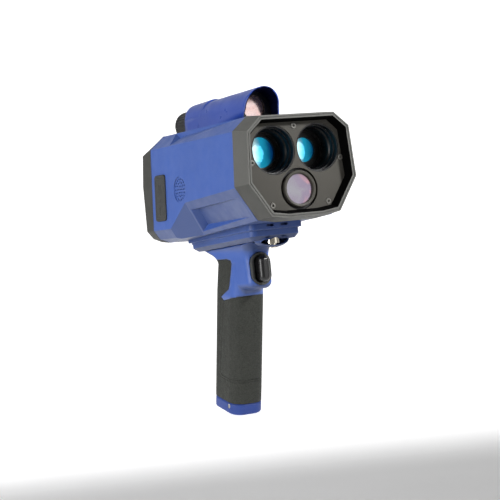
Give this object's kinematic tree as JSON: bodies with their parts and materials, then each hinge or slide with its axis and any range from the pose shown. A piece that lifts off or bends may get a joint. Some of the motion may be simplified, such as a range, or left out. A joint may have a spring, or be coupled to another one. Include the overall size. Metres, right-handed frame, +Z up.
{
  "type": "laser speed gun",
  "caption": "Hand-held laser speed gun: faceted body with twin lens bores and a camera window, dot sight on top, rear display and keys, pistol grip with trigger and a tripod bush.",
  "frame": {"origin": "centre of the mouth of the threaded tripod bush under the body", "axes": "+Z up, away from the grip; +Y back towards the user, from the lens end to the display; +X to the right for the user behind the gun"},
  "size_m": [0.125, 0.2265, 0.3185],
  "materials": {
    "blue_shell": "fine-grained satin blue",
    "bezel_rubber": "fine matt texture, dark grey",
    "plate_grey": "fine matt texture, grey",
    "black_plastic": "satin black",
    "grip_rubber": "fine stippled texture",
    "cover_rubber": "matt",
    "black_anodised": "black anodised, satin",
    "coated_glass": "polished, blue anti-reflection coating",
    "window_glass": "polished",
    "sight_glass": "polished, faint pink coating",
    "display_black": "polished dark window",
    "trigger_gloss": "moulded gloss",
    "chrome": "bright plated",
    "screw_black": "black oxide",
    "steel": "bright",
    "seal_rubber": "smooth",
    "circuit_board": "solder mask",
    "component_black": "moulded",
    "standoff_brass": "turned",
    "battery_wrap": "heat-shrunk sleeve",
    "key_rubber": "soft matt keycap"
  },
  "bodies": {
    "gun": {"base_flange": "blue_shell", "base_plate": "blue_shell", "base_screws": "screw_black", "battery_cells": "battery_wrap", "battery_contact_plate": "standoff_brass", "battery_springs": "steel", "board_standoffs": "standoff_brass", "bottom_cap": "blue_shell", "camera_board": "circuit_board", "camera_lens": "coated_glass", "camera_tube": "black_plastic", "camera_window_glass": "window_glass", "camera_window_ring": "black_plastic", "cap_screws": "steel", "card_slot": "component_black", "data_socket": "steel", "display_glass": "display_black", "display_module": "component_black", "front_bezel": "bezel_rubber", "front_plate": "plate_grey", "front_seal": "seal_rubber", "grip_sleeve": "grip_rubber", "handle_shell": "blue_shell", "key_board": "circuit_board", "laser_diode_module": "component_black", "main_board": "circuit_board", "main_housing": "blue_shell", "optics_frame": "black_plastic", "plate_screws": "screw_black", "port_tray": "black_plastic", "power_socket": "component_black", "rear_bezel": "bezel_rubber", "rear_panel": "black_plastic", "rear_screws": "screw_black", "rear_seal": "seal_rubber", "receive_barrel": "black_anodised", "receive_lens": "coated_glass", "receive_retainer": "black_anodised", "receiver_module": "component_black", "sight_emitter": "component_black", "sight_eyepiece": "sight_glass", "sight_housing": "blue_shell", "sight_lens": "sight_glass", "sight_lens_frame": "black_plastic", "speaker": "component_black", "transmit_barrel": "black_anodised", "transmit_lens": "coated_glass", "transmit_retainer": "black_anodised", "trigger_bezel": "cover_rubber", "trigger_spring": "steel", "trigger_switch": "component_black", "tripod_bush": "chrome"},
    "trigger": {"trigger": "trigger_gloss"},
    "key_power": {"key_power": "key_rubber"},
    "key_menu": {"key_menu": "key_rubber"},
    "key_minus": {"key_minus": "key_rubber"},
    "key_plus": {"key_plus": "key_rubber"},
    "port_cover": {"port_cover": "cover_rubber"},
    "sight_ring": {"sight_end_ring": "black_plastic"}
  },
  "joints": [
    {"name": "trigger_slide", "type": "slide", "parent": "gun", "child": "trigger", "axis": [0, 1, 0], "range_m": [0, 0.003], "stiffness_N_per_m": 1500, "springref_m": -0.003, "deforming": ["trigger_spring"]},
    {"name": "key_power_press", "type": "slide", "parent": "gun", "child": "key_power", "axis": [0, -1, 0], "range_m": [0, 0.001], "stiffness_N_per_m": 1500, "springref_m": -0.001},
    {"name": "key_menu_press", "type": "slide", "parent": "gun", "child": "key_menu", "axis": [0, -1, 0], "range_m": [0, 0.001], "stiffness_N_per_m": 1500, "springref_m": -0.001},
    {"name": "key_minus_press", "type": "slide", "parent": "gun", "child": "key_minus", "axis": [0, -1, 0], "range_m": [0, 0.001], "stiffness_N_per_m": 1500, "springref_m": -0.001},
    {"name": "key_plus_press", "type": "slide", "parent": "gun", "child": "key_plus", "axis": [0, -1, 0], "range_m": [0, 0.001], "stiffness_N_per_m": 1500, "springref_m": -0.001},
    {"name": "port_cover_hinge", "type": "hinge", "parent": "gun", "child": "port_cover", "pos_m": [-0.06143, 0.122, 0.0599], "axis": [-0.0605, 0, -0.9982], "range_deg": [0, 110]},
    {"name": "sight_ring_turn", "type": "hinge", "parent": "gun", "child": "sight_ring", "pos_m": [0, 0.137, 0.1332], "axis": [0, 1, 0], "range_deg": [0, 270]}
  ]
}
